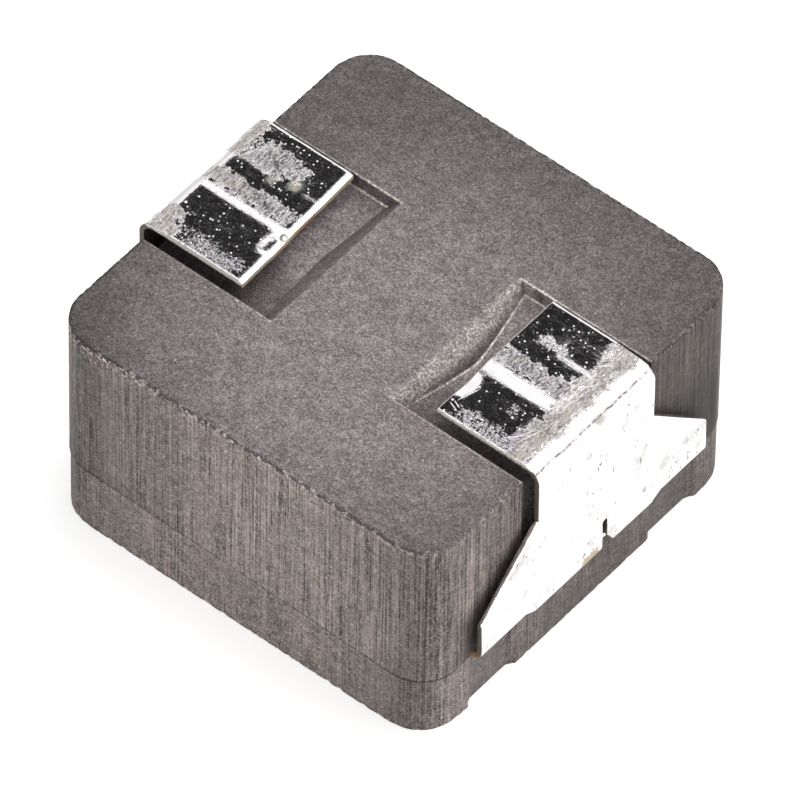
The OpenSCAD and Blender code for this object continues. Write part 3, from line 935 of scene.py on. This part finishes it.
def tin_material(name, frosted, stains):
    """Dip-tinned copper: mirror-bright, frosted in patches that carry painted dark reflection,
    with pimples, faint scratches, tarnish specks, matt sheared edges, a scuffed bend and a few
    stains."""
    s = Shade(name)
    waver_x = s.fit(s.noise(1.3, detail=3.0, rough=0.6, shift=2.0), 0.2, 0.8, -0.5, 0.5)
    waver_y = s.fit(s.noise(2.2, detail=3.0, rough=0.65, shift=5.0), 0.2, 0.8, -0.3, 0.3)
    x = s.plus(s.x, waver_x)
    y = s.plus(s.y, waver_y)
    nx, ny, nz = s.facing()
    on_pad = s.times(s.fit(s.z, PAD_Z - 0.7, PAD_Z - 0.4), s.fit(nz, 0.3, 0.6))
    crystals = s.noise(CRYSTALS, detail=4.0, rough=0.75, stretch=(1, 0.4, 1), warp=1.2)
    grains = s.noise(CRYSTALS, detail=3.0, rough=0.75, shift=9.0, warp=0.6)
    ripple = s.noise(RIPPLES, detail=3.0, rough=0.6, shift=4.0)
    frost = s.times(frost_map(s, x, y, frosted), on_pad)
    cover = s.times(s.fit(s.times_plus(frost, 0.5, grains), 0.66, 0.92), on_pad)
    marks = s.most(plate_marks(s), ring_mark(s))
    scratch = scratches(s)
    end = s.times(s.fit(nx, 0.25, 0.5), s.fade(s.size(s.x), 7.0, 8.0))
    cut = s.most(s.fit(ny, 0.75, 0.95), end)
    colour = s.mix(s.times(marks, 0.95), plate_colour(s), linear(TIN_TARNISH))
    colour = s.mix(s.times(cover, 0.92), colour, frost_and_reflection_colour(s, crystals))
    colour = s.mix(tarnished_rim(s, on_pad), colour, linear(TIN_TARNISH))
    colour = s.mix(scratch, colour, linear(TIN))
    colour = s.mix(cut, colour, s.mix(end, sheared_colour(s, grains), linear(END_CUT)))
    stained = 0.0
    for stain, place in stain_places(s, y, nz, crystals, grains, stains):
        colour = s.mix(place, colour, linear(stain))
        stained = s.most(stained, place)
    rough = s.times_plus(cover, FROST_ROUGH, s.swing(ripple, 0.025, 0.075))
    rough = s.times_plus(s.most(marks, s.times(scratch, 2.0)), MARK_ROUGH, rough)
    rough = s.times_plus(cut, CUT_ROUGH, rough)
    dielectric = s.most(s.most(s.times(cut, 0.8), stained), s.times(scratch, 0.9))
    s.set(Base_Color=colour, Roughness=rough, Metallic=s.minus(1.0, dielectric),
          Normal=tin_relief(s, ripple, crystals, cover))
    return s.material


def tin_relief(s, ripple, crystals, cover):
    """Ripples, frost crystals, drawing lines, a few pimples and many small dots."""
    random, centre = s.cells(PIMPLES, shift=1.0)
    pimple = s.times(s.fit(random, 0.9, 0.99), s.fade(centre, 0.03, 0.18))
    random, centre = s.cells(DOTS, shift=6.0)
    dot = s.times(s.fit(random, 0.86, 1.0), s.fade(centre, 0.05, 0.4))
    drawn = s.noise(7.0, detail=3.0, rough=0.7, stretch=(0.12, 1, 1), shift=33.0)
    frost = s.times(crystals, s.times_plus(cover, 0.14, 0.03))
    relief = s.bump(ripple, RIPPLE_RELIEF)
    relief = s.bump(frost, CRYSTAL_RELIEF, relief)
    relief = s.bump(drawn, DRAWN_RELIEF, relief)
    relief = s.bump(pimple, PIMPLE_RELIEF, relief)
    return s.bump(dot, DOT_RELIEF, relief)


def frost_map(s, x, y, patches):
    """How frosted the tin is, from the patches with soft borders."""
    frost = 0.0
    for x_low, x_high, y_low, y_high, share in patches:
        patch = s.times(s.window(x, x_low, x_high, 0.4), s.window(y, y_low, y_high, 0.22))
        frost = s.most(frost, s.times(patch, share))
    return frost


def frost_and_reflection_colour(s, crystals):
    """Dull tin, more beige towards the bend, with dark crystals that are painted dark
    reflection, a purple front and bright strokes."""
    bend = s.fit(s.size(s.x), 9.3, 10.1)
    tone = s.plus(s.noise(2.2, detail=4.0, rough=0.7, shift=13.0), s.times(bend, 0.08))
    colour = s.mix(s.fit(tone, 0.4, 0.6), linear(TIN_DULL), linear(TIN_BEIGE))
    # Painted dark reflection on the frost crystals
    dark = s.times(s.fade(crystals, 0.44, 0.56), s.times_plus(bend, -0.35, 1.0))
    colour = s.mix(dark, colour, linear(TIN_DARK_REFLECTION))
    front = s.times(s.fit(s.y, -2.9, -2.3, 0.65, 0.0), s.minus(1.0, bend))
    colour = s.mix(front, colour, linear(TIN_PURPLE))
    stroke = s.noise(11.0, rough=0.6, stretch=(1, 0.15, 1), shift=47.0, warp=0.5)
    return s.mix(s.fit(stroke, 0.58, 0.66, 0.0, 0.8), colour, linear(TIN))


def tarnished_rim(s, on_pad):
    """1 where the pads' side edges are tarnished, here more and there less."""
    rim = s.times(s.fit(s.size(s.y), PAD_HALF_W - 0.06, PAD_HALF_W - 0.03), on_pad)
    broken = s.noise(1.6, detail=3.0, rough=0.7, shift=23.0)
    return s.times(rim, s.fit(broken, 0.4, 0.6, 0.2, 0.85))


def sheared_colour(s, grains):
    """Colour of the strips' sheared edges, darker at the foot of the pads' edges."""
    height = s.plus(s.z, s.swing(grains, 0.06))
    return s.mix(s.fit(height, PAD_Z - 0.34, PAD_Z - 0.2), linear(CUT_FOOT), linear(TIN_CUT))


def stain_places(s, y, nz, crystals, grains, stains):
    """(colour, where it covers the tin) of each stain. One that ends below the pad's
    top lies on upright faces only."""
    upright = s.fade(nz, 0.75, 0.9)
    z = s.plus(s.z, s.swing(grains, 0.15))
    places = []
    for stain, x_range, y_range, z_range, share in stains:
        on_top = z_range[1] > PAD_Z
        place = s.times(s.window(s.x, *x_range, 0.2 if on_top else 0.03),
                        s.window(y, *y_range, 0.25))
        place = s.times(place, s.window(z, *z_range, 0.2))
        if not on_top:
            place = s.times(place, upright)
        places.append((stain, s.times(place, s.fit(crystals, 0.35, 0.6, 0.5 * share, share))))
    return places


def scratches(s):
    """1 on the bright scratches of the start pad, which taper to both ends."""
    scratch = 0.0
    for start, end in SCRATCHES:
        way = Vector(end) - Vector(start)
        off = s.vector("SUBTRACT", s.place, (start[0], start[1], PAD_Z))
        along = s.vector("DOT_PRODUCT", off, (way.x, way.y, 0))
        along = s.times(along, 1 / way.length ** 2)
        along = s.least(s.most(along, 0.0), 1.0)
        nearest = s.vector("SCALE", (way.x, way.y, 0), factor=along)
        aside = s.vector("SUBTRACT", off, nearest)
        away = s.vector("LENGTH", s.vector("MULTIPLY", aside, (1, 1, 0.1)))
        width = s.fit(s.gap(along, 0.5), 0.2, 0.5, 0.045, 0.01)
        scratch = s.most(scratch, s.fade(away, 0.0, width))
    return scratch


def ring_mark(s):
    """The small dark ring that a burst bubble left on the finish pad."""
    level = s.vector("MULTIPLY", s.place, (1, 1, 0))
    away = s.vector("LENGTH", s.vector("SUBTRACT", level, RING_MIDDLE))
    return s.fade(s.gap(away, RING_R), 0.04, 0.1)


def plate_colour(s):
    """Bright tin with greyish smudges on the upright plates."""
    smudge = s.fit(s.noise(0.8, detail=4.0, rough=0.65, shift=15.0), 0.48, 0.7)
    smudge = s.times(smudge, s.fade(s.z, 11.0, 12.5))
    return s.mix(smudge, linear(TIN), linear(TIN_SMUDGE))


def plate_marks(s):
    """Tarnish specks and upright marks on the plates, and the scuff along the bend."""
    low = s.fit(s.z, SCUFF_Z - 0.3, SCUFF_Z - 0.5)
    specks = s.noise(4.0, detail=3.0, rough=0.7, stretch=(1, 1, 0.5), shift=8.0)
    lines = s.noise(3.0, detail=3.0, rough=0.75, stretch=(1, 1, 0.25), shift=18.0)
    marks = s.times(s.most(s.fit(specks, 0.63, 0.66), s.fit(lines, 0.64, 0.67)), low)
    marks = s.times(marks, s.fit(s.noise(0.5, shift=43.0), 0.4, 0.6, 0.25, 1.0))
    waver = s.swing(s.noise(0.9, detail=3.0, rough=0.6, stretch=(0, 1, 0), shift=19.0), 0.03)
    broken = s.noise(2.5, detail=4.0, rough=0.8, stretch=(0.3, 1, 0.3), shift=20.0)
    scuff = s.times(s.fade(s.gap(s.plus(s.z, waver), SCUFF_Z), 0.015, 0.05),
                    s.fit(broken, 0.38, 0.58))
    return s.most(marks, s.times(scuff, s.fit(s.x, 11.0, 11.2)))


def copper_material():
    """Enamelled copper wire with a slightly uneven coat."""
    s = Shade("enamelled_copper_wire")
    patch = s.noise(0.8, detail=3.0, rough=0.6)
    drawn = s.noise(6.0, stretch=(1, 1, 4))
    s.set(Base_Color=s.mix(s.fit(patch, *NOISE_RANGE), linear(COPPER), linear(COPPER_DARK)))
    s.set(Metallic=1.0, Roughness=s.fit(drawn, *NOISE_RANGE, *WIRE_ROUGH))
    s.set(Normal=s.bump(drawn, ENAMEL_RELIEF))
    return s.material


# ---- Stage ----

def make_camera():
    """The photograph's camera, aimed at the middle of the block."""
    azimuth = math.radians(CAMERA_AZIMUTH)
    elevation = math.radians(CAMERA_ELEVATION)
    roll = math.radians(CAMERA_ROLL)
    back = Vector((math.sin(azimuth) * math.cos(elevation),
                   -math.cos(azimuth) * math.cos(elevation), math.sin(elevation)))
    right = Vector((math.cos(azimuth), math.sin(azimuth), 0))
    up = back.cross(right)
    right, up = (math.cos(roll) * right + math.sin(roll) * up,
                 math.cos(roll) * up - math.sin(roll) * right)
    low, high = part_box("powder_body")
    away = CAMERA_DISTANCE * back + CAMERA_SLIDE_RIGHT * right + CAMERA_SLIDE_UP * up
    data = bpy.data.cameras.new("camera")
    data.lens = CAMERA_LENS
    data.sensor_width = SENSOR_W
    data.clip_start, data.clip_end = CAMERA_CLIP
    camera = bpy.data.objects.new("camera", data)
    camera.matrix_world = (Matrix.Translation((low + high) / 2 + BLOCK_W * away)
                           @ Matrix((right, up, back)).transposed().to_4x4())
    bpy.context.scene.collection.objects.link(camera)
    bpy.context.scene.camera = camera


def make_floor():
    """A white floor that looks as bright as the photograph's ground, but lights the
    block no more than white paint would."""
    mesh = bpy.data.meshes.new("floor")
    r = FLOOR_HALF_W
    corners = [(x, y, -FLOOR_DROP) for x, y in ((-r, -r), (r, -r), (r, r), (-r, r))]
    mesh.from_pydata(corners, [], [(0, 1, 2, 3)])
    floor = bpy.data.objects.new("floor", mesh)
    bpy.context.scene.collection.objects.link(floor)
    s = Shade("white_floor")
    path = s.add("ShaderNodeLightPath").outputs
    seen = s.most(path["Is Camera Ray"], path["Is Glossy Ray"])
    seen = s.most(seen, path["Is Transmission Ray"])
    s.set(Base_Color=linear(FLOOR), Roughness=FLOOR_ROUGH, Emission_Color=(1, 1, 1, 1),
          Emission_Strength=s.times(seen, FLOOR_GLOW))
    mesh.materials.append(s.material)


def make_world():
    """Soft light all round, the walls that shiny metal sees, and white behind it all."""
    world = bpy.data.worlds.new("soft_studio")
    bpy.context.scene.world = world
    world.use_nodes = True
    nodes = Nodes(world.node_tree)
    path = nodes.add("ShaderNodeLightPath").outputs
    way = nodes.add("ShaderNodeTexCoord").outputs["Generated"]
    towards = nodes.vector("DOT_PRODUCT", way, Vector(OPENING_WAY).normalized())
    inner, outer = (math.cos(math.radians(edge)) for edge in OPENING_EDGE)
    wall = nodes.fit(towards, outer, inner, WALL_LIGHT, OPENING_LIGHT)
    left = nodes.fit(nodes.split(way)[0], *LEFT_EDGE, LEFT_LIGHT, 1.0)
    light = nodes.blend(path["Is Glossy Ray"], WORLD_LIGHT, nodes.times(wall, left))
    direct = nodes.most(path["Is Camera Ray"], path["Is Transmission Ray"])
    background = world.node_tree.nodes["Background"]
    background.inputs["Color"].default_value = (1, 1, 1, 1)
    nodes.feed(background.inputs["Strength"], nodes.blend(direct, light, 1.0))


def make_lamp(name, way, distance, size, level):
    """A square soft box that shines at the block from the given direction. level is the
    light it gives a surface that faces it, as a share of what lights a colour as written."""
    data = bpy.data.lights.new(name, "AREA")
    data.size = size
    data.energy = level * math.pi ** 2 * distance ** 2
    lamp = bpy.data.objects.new(name, data)
    way = Vector(way).normalized()
    lamp.location = way * distance
    lamp.rotation_euler = way.to_track_quat("Z", "Y").to_euler()
    bpy.context.scene.collection.objects.link(lamp)


make_body(powder_material())
make_lead("start_terminal", "start_lead", 1, start_pad_wave,
          tin_material("bright_tin_start", START_FROST, START_STAINS))
make_lead("finish_terminal", "finish_lead", -1, finish_pad_wave,
          tin_material("bright_tin_finish", FINISH_FROST, FINISH_STAINS))
copper = copper_material()
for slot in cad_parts["winding"].material_slots:
    slot.material = copper
make_camera()
make_floor()
make_world()
for soft_box in SOFT_BOXES:
    make_lamp(*soft_box)
bpy.context.scene.view_settings.view_transform = "Standard"
